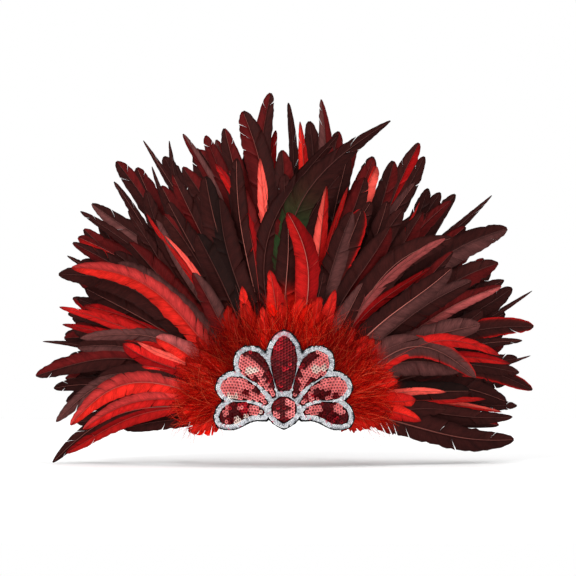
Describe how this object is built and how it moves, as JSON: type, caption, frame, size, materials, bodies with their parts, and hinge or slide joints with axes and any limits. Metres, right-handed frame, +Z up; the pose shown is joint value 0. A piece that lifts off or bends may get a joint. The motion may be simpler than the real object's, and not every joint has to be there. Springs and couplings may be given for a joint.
{
  "type": "carnival feather headdress",
  "caption": "Fan of strung rooster feathers, dyed red and bronze, behind a scalloped crest of red and silver sequins, on a head band with an elastic strap.",
  "frame": {"origin": "middle of the head opening, level with the point that the feathers fan out from", "axes": "+Z up as worn, +Y towards the back of the head, +X towards the wearer's left"},
  "size_m": [0.5069, 0.2358, 0.373],
  "materials": {
    "feathers": "soft sheen, dark maroon to bright red",
    "down": "fluffy, matt",
    "felt": "matt felt",
    "silver_sequins": "bright metallic film",
    "red_sequins": "bright metallic film",
    "band_fabric": "ribbed ribbon",
    "elastic": "woven elastic"
  },
  "bodies": {
    "root": {"head_band": "band_fabric", "elastic_strap": "elastic", "feathers_left_1": "feathers", "feathers_left_2": "feathers", "feathers_left_3": "feathers", "feathers_left_4": "feathers", "feathers_left_5": "feathers", "feathers_centre_1": "feathers", "feathers_centre_2": "feathers", "feathers_centre_3": "feathers", "feathers_centre_4": "feathers", "feathers_centre_5": "feathers", "feathers_right_1": "feathers", "feathers_right_2": "feathers", "feathers_right_3": "feathers", "feathers_right_4": "feathers", "feathers_right_5": "feathers", "down_collar": "down", "crest_felt": "felt", "crest_trim": "silver_sequins", "petal_top": "red_sequins", "petal_upper_left": "red_sequins", "petal_upper_right": "red_sequins", "petal_middle_left": "red_sequins", "petal_middle_right": "red_sequins", "petal_lower_left": "red_sequins", "petal_lower_right": "red_sequins", "petal_drop": "red_sequins"}
  },
  "joints": []
}
